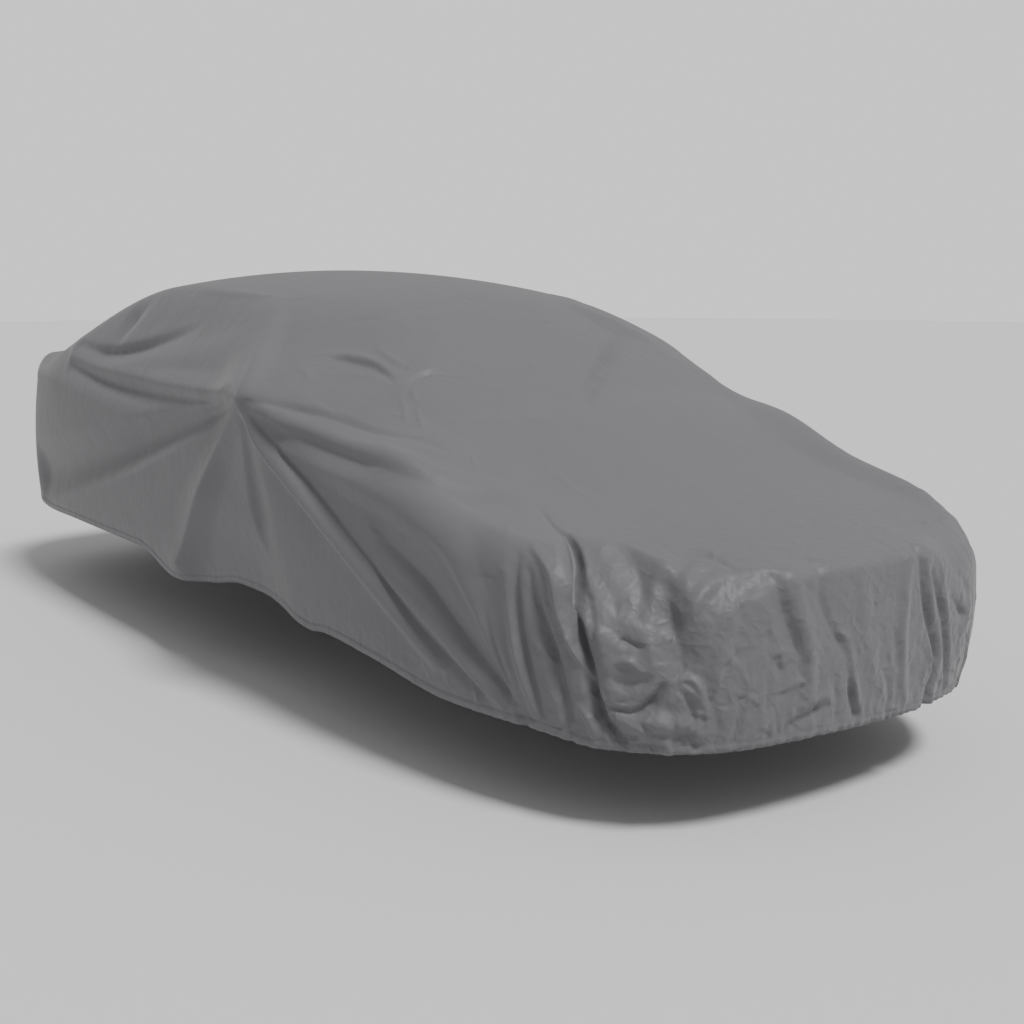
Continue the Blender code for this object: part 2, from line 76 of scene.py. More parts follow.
# Node trees.
class Wire:
    def __init__(self, finish, socket):
        self.finish = finish
        self.socket = socket

    def math(self, operation, first, second, clamp=False):
        return self.finish.add("ShaderNodeMath", {"operation": operation, "use_clamp": clamp},
                               {0: first, 1: second})

    def __add__(self, other):
        return self.math("ADD", self, other)

    def __sub__(self, other):
        return self.math("SUBTRACT", self, other)

    def __rsub__(self, other):
        return self.math("SUBTRACT", other, self)

    def __mul__(self, other):
        return self.math("MULTIPLY", self, other)

    __radd__ = __add__
    __rmul__ = __mul__

    def atLeast(self, low):
        return self.math("MAXIMUM", self, low)

    def atMost(self, high):
        return self.math("MINIMUM", self, high)

    def size(self):
        return self.math("ABSOLUTE", self, 0.0)


class Finish:
    def __init__(self, name):
        self.material = bpy.data.materials.new(name)
        self.material.use_nodes = True
        self.tree = self.material.node_tree
        self.skin = self.tree.nodes["Principled BSDF"]
        self.place = self.add("ShaderNodeTexCoord", {}, {}, "Object")

    def add(self, kind, settings, inputs, output=0):
        node = self.tree.nodes.new(kind)
        for key, value in settings.items():
            setattr(node, key, value)
        for key, value in inputs.items():
            self.feed(node.inputs[key], value)
        return Wire(self, node.outputs[output])

    def feed(self, socket, value):
        if isinstance(value, Wire):
            self.tree.links.new(value.socket, socket)
        else:
            socket.default_value = value

    def grain(self, scale, detail=2.0, roughness=0.5, distortion=0.0, place=None):
        return self.add("ShaderNodeTexNoise", {}, {
            "Vector": place or self.place, "Scale": scale, "Detail": detail,
            "Roughness": roughness, "Distortion": distortion})

    def blend(self, share, first, second):
        return self.add("ShaderNodeMix", {"data_type": "RGBA"}, {0: share, 6: first, 7: second}, 2)

    def relief(self, height, strength=1.0):
        return self.add("ShaderNodeBump", {}, {"Height": height, "Strength": strength,
                                               "Distance": 1.0})


# Cloth form.
cloth = {
    "thickness": 0.002,
    "halfWidth": 0.912,
    "columns": 1400,          # round the plan outline
    "noseCrowding": 1.7,      # how much closer they stand round the nose
    "crowdFrom": 1.0,
    "crowdOver": 0.6,
    "outlineSteps": 60,       # between two plan points
    "skirtRings": 96,
    "shoulderRings": 30,
    "topRings": 120,
    "facesKept": 97000,       # triangles of the outer face once flat stretches are simplified
    "shoulderReach": 0.120,
    "shoulderDrop": 0.114,
    "peakDrop": 0.045,        # the same beside the side peaks, where the cloth is pulled taut
    "peakSpan": 0.45,
    "cornerReach": 0.245,     # at the right front corner, where the deck droops in a slack slope
    "cornerDrop": 0.165,
    "cornerAt": (2.17, -0.71),
    "cornerSize": 0.11,
    "cornerFull": 1.7,        # how flat the slope's fade is in its middle
    "cornerCurve": 1.35,      # 1 is a straight slope, more is rounder at its top
    "noseReach": 0.034,       # along the middle of the nose, where the cloth turns down crisply
    "noseDrop": 0.032,
    "noseLift": 0.010,
    "noseLiftOver": 0.5,
    "noseFrom": 2.0,
    "noseMiddle": -0.04,
    "noseSize": 0.19,
    "noseFull": 2.4,
    "calming": 5,             # how often the directions that the folds rise in are evened out
    "skirtBulge": 0.011,
    "nosePull": 0.012,        # how far the elastic draws the hem in at the nose
    "farPull": 0.026,         # and at the nose's left corner, on top of that
    "farCurve": 1.5,
    "farOver": 0.6,
    "tailPull": 0.014,
    "tailCurve": 6,
    "tailLean": 0.034,
    "noseFade": (1.2, 1.0),   # where these pulls begin and over what length they grow
    "tailFade": (1.6, 0.7),
    "sideBlend": 0.4,         # over what width the right hem's height turns into the left one's
    "peakCurve": 1.6,
    "deckCrown": 0.0535,
    "deckWidth": 0.9,
    "poleGap": 0.0005,        # points closer than this are merged where all rings meet
    "sliver": 0.0002,
    "spineRear": -0.9,
    "spineFront": 0.3,
}

PlanPoint = namedtuple("PlanPoint", "x share")
planPoints = [
    PlanPoint(2.394, 0.00), PlanPoint(2.379, 0.35), PlanPoint(2.309, 0.62), PlanPoint(2.128, 0.81),
    PlanPoint(1.807, 0.93), PlanPoint(1.305, 0.984), PlanPoint(0.40, 1.00), PlanPoint(-0.79, 1.00),
    PlanPoint(-1.67, 0.957), PlanPoint(-2.12, 0.85), PlanPoint(-2.34, 0.62), PlanPoint(-2.41, 0.32),
    PlanPoint(-2.42, 0.00),
]

Deck = namedtuple("Deck", "x height")
deckProfile = [
    Deck(-2.42, 1.022), Deck(-1.90, 1.105), Deck(-1.20, 1.085), Deck(-0.40, 0.99), Deck(0.60, 0.98),
    Deck(1.15, 1.011), Deck(1.60, 0.853), Deck(2.00, 0.781), Deck(2.394, 0.699),
]

roof = {
    "height": 1.460, "peakX": -0.474, "frontX": 0.384, "rearX": -0.995, "half": 0.675,
    "frontDrop": 0.0462, "rearDrop": 0.0633, "crown": 0.05, "edgeDrop": 0.075,
    "frontSlope": 0.504, "frontBow": 0.148, "rearSlope": 0.426, "rearBow": 0.12,
    "overhang": 0.10, "blend": 0.07, "sideBridge": 0.085,
    "crownLength": 0.65, "crownWidth": 0.6, "bowWidth": 0.65,
}

# Flat cloth between the roof's front corner, the side peak and the foot of the front slope.
Corner = namedtuple("Corner", "x height back up")
rightCorner = Corner(0.54, 1.050, 0.378, 0.475)
leftCorner = Corner(0.54, 1.078, 0.400, 0.720)

# Steepness of the fall from the roof's edge to the waist.
Side = namedtuple("Side", "x slope")
sideLine = [
    Side(-2.42, 1.62), Side(-0.50, 1.70), Side(-0.15, 1.50), Side(0.17, 1.18), Side(0.54, 1.00),
    Side(2.40, 1.00),
]

Hem = namedtuple("Hem", "x right left")
hemLine = [
    Hem(-2.42, 0.368, 0.368), Hem(-1.85, 0.362, 0.372), Hem(-1.25, 0.378, 0.376),
    Hem(-0.56, 0.381, 0.352), Hem(-0.42, 0.360, 0.340), Hem(-0.30, 0.324, 0.344),
    Hem(-0.16, 0.309, 0.358), Hem(0.06, 0.332, 0.349), Hem(0.29, 0.367, 0.316),
    Hem(0.60, 0.358, 0.333), Hem(0.85, 0.324, 0.352), Hem(0.93, 0.333, 0.350),
    Hem(1.21, 0.313, 0.322), Hem(1.58, 0.267, 0.281), Hem(1.92, 0.259, 0.262),
    Hem(2.11, 0.240, 0.236), Hem(2.394, 0.240, 0.228),
]

Peak = namedtuple("Peak", "foot tip reach")
peaks = [
    Peak((0.53, -0.905, 1.035), (0.54, -0.985, 1.058), 0.40),
    Peak((0.54, 0.905, 1.040), (0.55, 0.980, 1.062), 0.40),
]


def along(x, rows, column):
    knots = np.array([row.x for row in rows])
    values = np.array([getattr(row, column) for row in rows])
    slopes = np.diff(values) / np.diff(knots)
    sameWay = slopes[1:] * slopes[:-1] > 0
    steady = 2 * slopes[1:] * slopes[:-1] / np.where(sameWay, slopes[1:] + slopes[:-1], 1.0)
    tangent = np.concatenate(([slopes[0]], np.where(sameWay, steady, 0.0), [slopes[-1]]))
    x = np.clip(x, knots[0], knots[-1])
    i = np.clip(np.searchsorted(knots, x) - 1, 0, len(knots) - 2)
    step = knots[i + 1] - knots[i]
    t = (x - knots[i]) / step
    return ((1 + 2 * t) * (1 - t) ** 2 * values[i] + t * (1 - t) ** 2 * step * tangent[i]
            + t * t * (3 - 2 * t) * values[i + 1] + t * t * (t - 1) * step * tangent[i + 1])


def ramp(value, start, length):
    return np.clip((value - start) / length, 0, 1)


def eased(value):
    value = np.clip(value, 0, 1)
    return value * value * (3 - 2 * value)


def bridge(t, start, leave, end, arrive):
    return ((2 * t**3 - 3 * t**2 + 1) * start + (t**3 - 2 * t**2 + t) * leave
            + (3 * t**2 - 2 * t**3) * end + (t**3 - t**2) * arrive)


def lowerOf(a, b, blend):
    share = np.clip(0.5 + 0.5 * (b - a) / blend, 0, 1)
    return b * (1 - share) + a * share - blend * share * (1 - share)


def higherOf(a, b, blend):
    return -lowerOf(-a, -b, blend)


def topHeight(x, y):
    deck = along(x, deckProfile, "height") - cloth["deckCrown"] * (y / cloth["deckWidth"]) ** 2
    fromPeak = (x - roof["peakX"]) / roof["crownLength"]
    drop = np.where(fromPeak > 0, roof["frontDrop"], roof["rearDrop"])
    crown = roof["height"] - drop * fromPeak ** 2 - roof["crown"] * (y / roof["crownWidth"]) ** 2
    edge = roof["height"] - roof["edgeDrop"]
    bow = (y / roof["bowWidth"]) ** 2
    frontX = roof["frontX"] + roof["overhang"] - roof["frontBow"] * bow
    rearX = roof["rearX"] - roof["overhang"] + roof["rearBow"] * bow
    front = edge + (frontX - x) * roof["frontSlope"]
    rear = edge + (x - rearX) * roof["rearSlope"]
    side = edge + (roof["half"] - np.abs(y)) * along(x, sideLine, "slope")
    corners = [plane.height + plane.back * (plane.x - x) + plane.up * (1 - np.abs(y))
               for plane in (rightCorner, leftCorner)]
    corner = np.where(y < 0, corners[0], corners[1])
    blend = roof["blend"]
    cabin = lowerOf(lowerOf(crown, front, blend), lowerOf(rear, side, blend), blend)
    return higherOf(deck, lowerOf(cabin, corner, blend), roof["sideBridge"])


def planOutline():
    right = [(p.x, -p.share * cloth["halfWidth"]) for p in planPoints]
    left = [(x, -y) for x, y in right[-2:0:-1]]
    knots = np.array(right + left)
    before, after, beyond = np.roll(knots, 1, 0), np.roll(knots, -1, 0), np.roll(knots, -2, 0)
    span = np.linalg.norm(after - knots, axis=1)[:, None]
    leave = (after - before) / (span + np.roll(span, 1, 0)) * span
    arrive = (beyond - knots) / (span + np.roll(span, -1, 0)) * span
    pieces = [bridge(t, knots, leave, after, arrive)
              for t in np.linspace(0, 1, cloth["outlineSteps"], endpoint=False)]
    curve = np.stack(pieces, axis=1).reshape(-1, 2)
    half = curve[:len(curve) // 2 + 1]
    atNose = ramp(half[:, 0], cloth["crowdFrom"], cloth["crowdOver"])
    crowding = 1 + (cloth["noseCrowding"] - 1) * atNose
    steps = np.linalg.norm(np.diff(half, axis=0), axis=1) * (crowding[1:] + crowding[:-1]) / 2
    length = np.concatenate(([0.0], np.cumsum(steps)))
    stations = np.linspace(0, length[-1], cloth["columns"] // 2 + 1)
    x, y = np.interp(stations, length, half[:, 0]), np.interp(stations, length, half[:, 1])
    y[0] = y[-1] = 0.0
    return np.concatenate((x, x[-2:0:-1])), np.concatenate((y, -y[-2:0:-1]))


# The hem is a turned-up band with one row of stitches.
hem = {
    "band": 0.022, "proud": 0.0012, "groove": 0.0008, "stitchWidth": 0.0015, "stitchRing": 4,
    "pucker": 0.036, "puckerShare": 0.6, "puckerDrift": (2.1, 0.37),   # how far, over what length
    "crimp": 0.083, "crimpShare": 0.4, "crimpDrift": (1.3, 0.61),
    "depth": 0.0006, "endDepth": 0.0020, "fade": 0.035, "endFade": 0.04,
    "ends": (1.5, 0.6),   # where the deeper puckers of nose and tail begin, and over what length
}
hemHeights = (0.0, 0.007, 0.014, 0.020, 0.024, 0.028, 0.034)


def tightGrid():
    x, y = planOutline()
    spineX = np.clip(x, cloth["spineRear"], cloth["spineFront"])
    reach = np.hypot(spineX - x, y)
    inward = np.stack([(spineX - x) / reach, -y / reach])
    taut = np.clip(1 - np.abs(x - peaks[0].tip[0]) / cloth["peakSpan"], 0, 1) ** 2
    drop = cloth["shoulderDrop"] + (cloth["peakDrop"] - cloth["shoulderDrop"]) * taut * (3 - 2 * taut)
    cornerX, cornerY = cloth["cornerAt"]
    slack = eased(cloth["cornerFull"] - np.hypot(x - cornerX, y - cornerY) / cloth["cornerSize"])
    crisp = eased(cloth["noseFull"] - np.abs(y - cloth["noseMiddle"]) / cloth["noseSize"])
    crisp = crisp * (x > cloth["noseFrom"])
    turnIn = (cloth["shoulderReach"] + (cloth["cornerReach"] - cloth["shoulderReach"]) * slack
              + (cloth["noseReach"] - cloth["shoulderReach"]) * crisp)
    drop = drop + (cloth["cornerDrop"] - drop) * slack + (cloth["noseDrop"] - drop) * crisp
    lift = cloth["noseLift"] * crisp
    foot = topHeight(x, y) - drop + lift
    rightShare = np.clip(0.5 - y / cloth["sideBlend"], 0, 1)
    bottom = along(x, hemLine, "right") * rightShare + along(x, hemLine, "left") * (1 - rightShare)
    atNose = ramp(x, *cloth["noseFade"])
    atTail = ramp(-x, *cloth["tailFade"])
    farShare = atNose * ramp(y, 0.0, cloth["farOver"])
    lean = cloth["tailLean"] * atTail
    rings, above = [], []
    lows = len(hemHeights)
    for k in range(cloth["skirtRings"]):
        if k < lows:
            height = np.full(len(x), hemHeights[k])
        else:
            share = (k - lows + 1) / (cloth["skirtRings"] - lows + 1)
            height = hemHeights[-1] + (foot - bottom - hemHeights[-1]) * share
        up = height / (foot - bottom)
        out = cloth["skirtBulge"] * np.sin(math.pi * up) - cloth["nosePull"] * atNose * (1 - up) ** 2
        out = out - cloth["farPull"] * farShare * (1 - up) ** cloth["farCurve"]
        out = out - cloth["tailPull"] * atTail * (1 - up) ** cloth["tailCurve"] - lean * up ** 3
        rings.append((x - inward[0] * out, y - inward[1] * out, bottom + height))
        above.append(height)
    for turn in np.linspace(0, math.pi / 2, cloth["shoulderRings"], endpoint=False):
        straight = turn / (math.pi / 2)
        across = (1 - math.cos(turn)) * (1 - slack) + straight * slack
        below = (1 - math.sin(turn)) * (1 - slack) + (1 - straight) ** cloth["cornerCurve"] * slack
        step = lean + (turnIn - lean) * across
        rx, ry = x + inward[0] * step, y + inward[1] * step
        rings.append((rx, ry, topHeight(rx, ry) - drop * below + lift))
        above.append(foot - bottom)
    for share in np.linspace(0, 1, cloth["topRings"]):
        step = turnIn + (reach - turnIn) * share
        rx, ry = x + inward[0] * step, y + inward[1] * step
        fading = np.clip(1 - (step - turnIn) / cloth["noseLiftOver"], 0, 1) ** 2
        rings.append((rx, ry, topHeight(rx, ry) + lift * fading))
        above.append(foot - bottom)
    return np.array([np.stack(ring, axis=1) for ring in rings]), np.array(above)


def gridNormals(grid):
    across = np.roll(grid, -1, 1) - np.roll(grid, 1, 1)
    upward = np.gradient(grid, axis=0)
    normals = np.cross(upward, across)
    normals /= np.maximum(np.linalg.norm(normals, axis=2), 1e-9)[:, :, None]
    normals[-1] = normals[-2]
    return normals * np.sign(np.sum(normals[len(grid) // 4, :, :2] * grid[len(grid) // 4, :, :2]))


# Folds.
# A fold runs along a smooth line through the points of its path, here in centimetres. Rise and
# reach change evenly along it, here in millimetres. A positive rise is a ridge and a negative one
# a trough. Lean makes one flank steeper. A ridge is round and a trough sharp, unless its crest
# says otherwise.
Fold = namedtuple("Fold", "path rise reach lean crest", defaults=(0.0, ""))
lineSlack = 0.12   # how far off its line, along the normal, a fold still counts
sharpCurve = 1.5
peak = peaks[0].foot
shownFolds = [
    # side waist shelf and the trough under it
    Fold((peak, (-2, -90, 103), (-65, -87, 103), (-137, -84, 109)), (12, 26, 14), (60, 100, 90), 0.2),
    Fold(((34, -91, 102), (-27, -89, 100), (-90, -88, 101), (-135, -86, 105)), (-14, -36, -14),
         (35, 60, 50)),
    # broad valley to the tail
    Fold(((33, -92, 101), (-23, -92, 87), (-93, -92, 70), (-184, -86, 52)), (-14, -48, -46),
         (35, 120, 170), 0, "round"),
    # facet under the peak
    Fold((peak, (26, -92, 84), (1, -93, 57), (-15, -92, 38)), (14, 36, 40, 42),
         (50, 100, 140, 170), 0.1, "sharp"),
    Fold(((2, -92, 35), (42, -92, 36)), (-34, -40), (360, 340), 0, "round"),
    Fold(((52, -92, 95), (51, -92, 76), (54, -92, 54), (60, -91, 37)), (-8, -16, -16),
         (50, 90, 120), -0.3, "round"),
    # long ridge and the trough over it
    Fold(((52, -91, 101), (62, -92, 89), (80, -92, 78), (96, -91, 70), (119, -91, 58), (155, -89, 37)),
         (8, 25, 31, 31, 28, 12), (24, 45, 52, 54, 58, 50), -0.25),
    Fold(((59, -91, 98), (76, -91, 86), (99, -91, 74), (127, -91, 59), (150, -89, 45), (180, -85, 30)),
         (-6, -15, -18, -17, -15, -8), (12, 20, 24, 26, 28, 28), 0.4),
    # second strand
    Fold(((123, -91, 61), (146, -90, 52), (166, -88, 41), (181, -84, 29)), (5, 13, 13, 8),
         (25, 30, 30, 30)),
    Fold(((130, -90, 69), (149, -89, 60), (167, -88, 47), (184, -84, 34), (190, -82, 29)),
         (-12, -22, -22, -18, -10), (90, 80, 55, 40, 30), -0.3),
    Fold(((125, -90, 84), (156, -88, 74), (170, -87, 60), (180, -86, 45), (187, -83, 31)),
         (8, 18, 16, 12, 10), (90, 90, 55, 35, 30), -0.3),
    # high trough, the band under it and the dark under that
    Fold(((58, -91, 103), (75, -86, 102), (91, -81, 101), (109, -77, 98), (131, -69, 94)),
         (-5, -14, -17, -13, -4), (18, 28, 30, 30, 28), -0.2),
    Fold(((59, -91, 101), (83, -88, 97), (119, -87, 94), (141, -78, 89), (156, -62, 84)),
         (6, 15, 17, 13, 6), (30, 45, 55, 70, 80), -0.2),
    Fold(((61, -92, 96), (89, -90, 92), (129, -88, 90), (148, -79, 85), (162, -70, 82)),
         (-6, -14, -12, -8, -3), (35, 60, 70, 80, 80), 0, "round"),
    Fold(((74, -91, 91), (110, -90, 85), (139, -89, 79), (158, -88, 70)), (4, 12, 12, 6), (50, 70, 70, 60)),
    # pillar
    Fold(((10, -61, 137), (37, -80, 121), (51, -88, 110), peak), (4, 10, 12, 8), (50, 50, 45, 50)),
    Fold(((25, -63, 133), (41, -74, 122), (58, -85, 111)), (-3, -10, -4), (60, 80, 50)),
    # rear crescent
    Fold(((-133, -82, 114), (-104, -83, 112), (-68, -80, 116), (-27, -76, 125)), (-14, -38, -30, -6),
         (40, 55, 55, 45), 0.3),
    Fold(((-84, -71, 132), (-92, -75, 126), (-96, -79, 119)), (-6, -24, -10), (70, 90, 80)),
    Fold(((-129, -84, 110), (-75, -85, 108), (-21, -83, 114), (18, -82, 121)), (6, 14, 10, 3),
         (60, 80, 100, 100)),
    # roof edge
    Fold(((-45, -66, 139), (-7, -65, 138), (13, -58, 137)), (4, 7, 3), (30, 35, 30)),
    # right front corner: uprights
    Fold(((175, -86, 58), (179, -86, 48), (184, -84, 38), (189, -82, 27)), (-4, -18, -16, -12),
         (30, 30, 28, 30)),
    Fold(((181, -83, 72), (185, -84, 57), (188, -84, 45), (193, -82, 31)), (4, 14, 19, 15),
         (35, 34, 32, 30), 0, "sharp"),
    Fold(((185, -82, 73), (187, -84, 58), (190, -83, 45), (194, -81, 31)), (-6, -20, -24, -18),
         (25, 26, 26, 28)),
    Fold(((190, -82, 69), (194, -82, 59), (199, -81, 48), (202, -79, 35), (203, -78, 25)),
         (-10, -26, -30, -26, -12), (28, 34, 38, 40, 35), 0.2),
    Fold(((188, -79, 75), (197, -80, 69), (200, -80, 60), (205, -78, 50), (213, -74, 38)),
         (8, 22, 22, 22, 14), (24, 32, 26, 24, 22), -0.3, "sharp"),
    Fold(((196, -79, 70), (200, -78, 68)), (12, 4), (28, 16)),
    Fold(((193, -82, 51), (198, -81, 46), (200, -80, 40)), (4, 10, 8), (18, 20, 30)),
    Fold(((197, -81, 45), (200, -80, 36), (202, -78, 26)), (6, 14, 8), (30, 36, 30)),
    Fold(((206, -78, 35), (209, -76, 32), (210, -75, 28)), (6, 12, 6), (18, 20, 20)),
    # right front corner: deep lapped trough
    Fold(((167, -61, 81), (183, -67, 78), (191, -68, 76), (198, -71, 70), (206, -78, 56), (210, -76, 43),
         (212, -74, 33), (217, -71, 27)), (-3, -10, -22, -40, -48, -48, -38, -14),
         (10, 14, 16, 22, 28, 28, 28, 26), 0.25),
    Fold(((190, -67, 76), (198, -70, 70), (207, -72, 62), (212, -75, 52), (214, -74, 41), (216, -72, 35)),
         (4, 10, 12, 12, 12, 10), (30, 40, 45, 40, 35, 30), -0.5),
    # right front corner: puffy facet, its wavy edge and the pockets under it
    Fold(((196, -66, 74), (205, -66, 69), (212, -66, 63)), (4, 8, 6), (60, 80, 60)),
    Fold(((207, -73, 60), (214, -70, 58), (218, -68, 57), (222, -66, 55)), (10, 13, 12, 8),
         (18, 20, 20, 18), -0.5, "sharp"),
    Fold(((210, -74, 58), (216, -72, 55), (220, -69, 53), (222, -67, 54)), (-7, -15, -15, -6),
         (26, 32, 28, 22)),
    Fold(((213, -74, 48), (218, -71, 49), (221, -69, 47)), (8, 14, 8), (18, 20, 16)),
    Fold(((222, -68, 52), (221, -69, 49), (219, -70, 48)), (3, 6, 3), (18, 20, 18)),
    Fold(((213, -75, 45), (217, -72, 43), (222, -68, 44)), (-6, -12, -10), (25, 30, 25)),
    Fold(((215, -73, 36), (220, -70, 35), (223, -67, 38), (225, -65, 43)), (-12, -28, -30, -18),
         (20, 28, 30, 26), 0.2),
    Fold(((200, -60, 75), (204, -61, 73), (208, -61, 70)), (-2, -5, -2), (12, 14, 12)),
    Fold(((207, -59, 72), (209, -60, 70), (212, -61, 67)), (-2, -6, -2), (12, 14, 12)),
    Fold(((210, -70, 62), (212, -70, 60), (214, -70, 59)), (-1, -4, -2), (12, 14, 12)),
    Fold(((214, -66, 62), (216, -66, 60), (219, -66, 57)), (-1, -5, -3), (12, 14, 14)),
    # right front corner: bright fan at the hem
    Fold(((215, -73, 35), (224, -66, 33), (230, -58, 32)), (12, 24, 10), (25, 45, 30)),
    Fold(((215, -73, 34), (221, -68, 31), (225, -63, 26)), (8, 20, 10), (20, 35, 30)),
    Fold(((221, -69, 35), (222, -67, 30), (223, -65, 26)), (-4, -12, -10), (14, 18, 18)),
    Fold(((226, -65, 38), (227, -63, 33), (228, -60, 27)), (-3, -10, -12), (14, 16, 20)),
    Fold(((228, -60, 32), (229, -57, 26)), (-10, -18), (14, 18)),
    # right front corner: rim, hollow, arch, bright strip
    Fold(((215, -55, 73), (217, -61, 66), (220, -65, 58), (223, -67, 49)), (6, 14, 14, 6),
         (35, 38, 38, 32), 0.2),
    Fold(((219, -60, 68), (224, -62, 59), (228, -61, 49), (227, -63, 44)), (-16, -34, -32, -12),
         (60, 90, 85, 50)),
    Fold(((222, -59, 69), (217, -50, 73), (217, -43, 73), (228, -43, 71)), (-8, -18, -14, -4),
         (24, 30, 26, 16)),
    Fold(((228, -44, 70), (228, -52, 68), (229, -58, 64), (228, -60, 60)), (4, 12, 13, 5),
         (22, 30, 28, 20), 0.2),
    Fold(((218, -60, 68), (222, -61, 65), (227, -60, 61)), (2, 6, 8), (12, 14, 12)),
    # right front corner: knot
    Fold(((228, -63, 44), (230, -60, 45), (231, -57, 41), (232, -56, 35)), (6, 12, 12, 6),
         (14, 14, 14, 14)),
    Fold(((228, -62, 42), (230, -60, 38), (230, -58, 32)), (-4, -14, -12), (12, 14, 12)),
    Fold(((229, -61, 43), (231, -58, 40), (231, -57, 38)), (4, 10, 6), (10, 12, 10)),
    Fold(((229, -59, 28), (231, -57, 33), (232, -56, 38)), (-10, -10, -4), (14, 12, 12)),
    # nose
    Fold(((229, -44, 70), (232, -35, 72), (233, -23, 72), (234, -13, 72), (235, -2, 72), (235, 14, 72),
         (235, 23, 71)), (3, 5, 6, 6, 6, 5, 3), (40, 40, 40, 40, 40, 40, 40), 0, "sharp"),
    Fold(((232, -44, 68), (234, -50, 60), (233, -53, 50), (233, -55, 42)), (5, 12, 12, 5),
         (35, 40, 35, 30)),
    Fold(((235, -36, 70), (238, -34, 60), (239, -30, 50), (239, -28, 42)), (-10, -19, -18, -4),
         (35, 42, 36, 25), 0.35),
    Fold(((236, -31, 71), (239, -30, 62), (239, -26, 50), (239, -25, 35), (238, -23, 27)),
         (5, 11, 12, 8, 4), (35, 40, 38, 35, 30)),
    Fold(((237, -38, 59), (237, -40, 55), (237, -43, 51)), (-3, -8, -3), (18, 22, 18)),
    Fold(((238, -38, 48), (238, -35, 45), (239, -32, 47)), (-7, -10, -4), (24, 28, 22)),
    Fold(((238, -39, 48), (237, -39, 40), (237, -39, 33)), (-4, -7, -3), (16, 18, 16)),
    Fold(((238, -37, 50), (239, -32, 49), (239, -27, 44)), (4, 7, 5), (18, 20, 16)),
    Fold(((238, -34, 40), (239, -31, 41), (239, -26, 41)), (4, 8, 4), (20, 22, 20)),
    Fold(((235, -21, 71), (239, -22, 62), (240, -16, 52), (240, -11, 44)), (-8, -8, -14, -4),
         (30, 30, 24, 20), 0.3),
    Fold(((240, -19, 57), (240, -16, 53), (240, -10, 50)), (3, 8, 4), (14, 18, 14)),
    Fold(((240, 9, 60), (240, -1, 54), (240, -10, 50)), (2, 6, 4), (16, 22, 18)),
    Fold(((240, -11, 50), (240, -10, 43), (239, -6, 32), (238, -3, 25)), (4, 8, 10, 4), (18, 20, 20, 20)),
    Fold(((240, -11, 44), (239, -8, 34), (239, -5, 27)), (-6, -26, -22), (18, 22, 22)),
    Fold(((240, -17, 42), (239, -14, 33), (238, -14, 25)), (-3, -8, -7), (16, 18, 18)),
    Fold(((239, -6, 69), (240, -5, 60), (240, -4, 49), (239, 3, 33)), (4, 7, 5, 4), (40, 45, 40, 40)),
    Fold(((240, 6, 55), (240, 9, 46), (240, 11, 39)), (-1, -7, -3), (14, 16, 14)),
    Fold(((240, 2, 42), (239, 8, 32), (238, 8, 25)), (-2, -7, -8), (16, 18, 20)),
    Fold(((237, 15, 71), (240, 12, 58), (240, 12, 43), (238, 16, 28)), (4, 10, 10, 5), (30, 30, 30, 30)),
    Fold(((237, 19, 71), (240, 22, 55), (238, 29, 37), (236, 28, 23)), (-12, -24, -34, -18),
         (24, 28, 26, 24), -0.2),
    Fold(((239, 22, 68), (239, 25, 53), (238, 27, 38), (235, 32, 24)), (4, 8, 10, 4), (20, 22, 22, 20)),
    Fold(((239, 25, 64), (239, 31, 51), (237, 36, 37), (234, 39, 25)), (-8, -22, -18, -8),
         (18, 22, 22, 20)),
    Fold(((238, 30, 66), (238, 33, 51), (236, 38, 35)), (3, 8, 5), (20, 24, 22)),
    Fold(((238, 36, 55), (236, 44, 48), (236, 44, 46)), (-4, -20, -10), (18, 24, 20)),
    Fold(((235, 44, 36), (236, 45, 44), (235, 48, 50)), (4, 11, 7), (30, 35, 30)),
    Fold(((236, 41, 61), (235, 46, 56), (235, 47, 52)), (-4, -8, -4), (20, 25, 20)),
    # hem shadows
    Fold(((237, -31, 28), (239, -24, 31), (239, -17, 32)), (-10, -18, -8), (25, 35, 25)),
    Fold(((238, -28, 34), (239, -23, 35), (239, -18, 36)), (4, 12, 6), (18, 20, 16)),
    Fold(((235, -42, 26), (236, -40, 30), (237, -38, 34)), (4, 10, 4), (20, 22, 18)),
    Fold(((234, -48, 26), (235, -47, 32), (236, -47, 38)), (-8, -10, -3), (18, 20, 18)),
    Fold(((232, -53, 25), (233, -53, 32), (233, -55, 39)), (-8, -10, -4), (16, 18, 16)),
    # front slope
    Fold(((58, -71, 117), (62, -66, 118), (68, -62, 117), (75, -59, 116), (84, -58, 112)),
         (-6, -18, -22, -20, -8), (14, 24, 30, 28, 20), 0.4),
    Fold(((57, -69, 118), (64, -63, 119), (71, -59, 117), (81, -57, 114)), (3, 8, 10, 4),
         (20, 30, 30, 20), -0.4),
    Fold(((68, -72, 113), (73, -67, 113), (80, -62, 113)), (3, 6, 4), (20, 20, 20)),
    Fold(((67, -53, 121), (78, -52, 117), (83, -50, 116)), (4, 8, 4), (18, 18, 14)),
    Fold(((79, -53, 116), (82, -52, 116), (84, -50, 115)), (-5, -8, -3), (18, 20, 14)),
    Fold(((89, -55, 111), (88, -48, 113), (91, -43, 114), (97, -36, 112)), (-6, -17, -13, -3),
         (14, 24, 22, 18), 0.3),
    Fold(((110, -51, 103), (111, -44, 104), (114, -36, 104)), (-3, -6, -2), (16, 18, 16)),
    Fold(((116, -56, 101), (121, -42, 101), (127, -23, 100)), (3, 9, 3), (22, 26, 22)),
    Fold(((100, -36, 110), (103, -33, 109), (106, -27, 108)), (2, 6, 2), (30, 35, 30)),
    Fold(((71, 50, 122), (90, 30, 116), (104, 12, 110), (120, -6, 104)), (-10, -26, -28, -12),
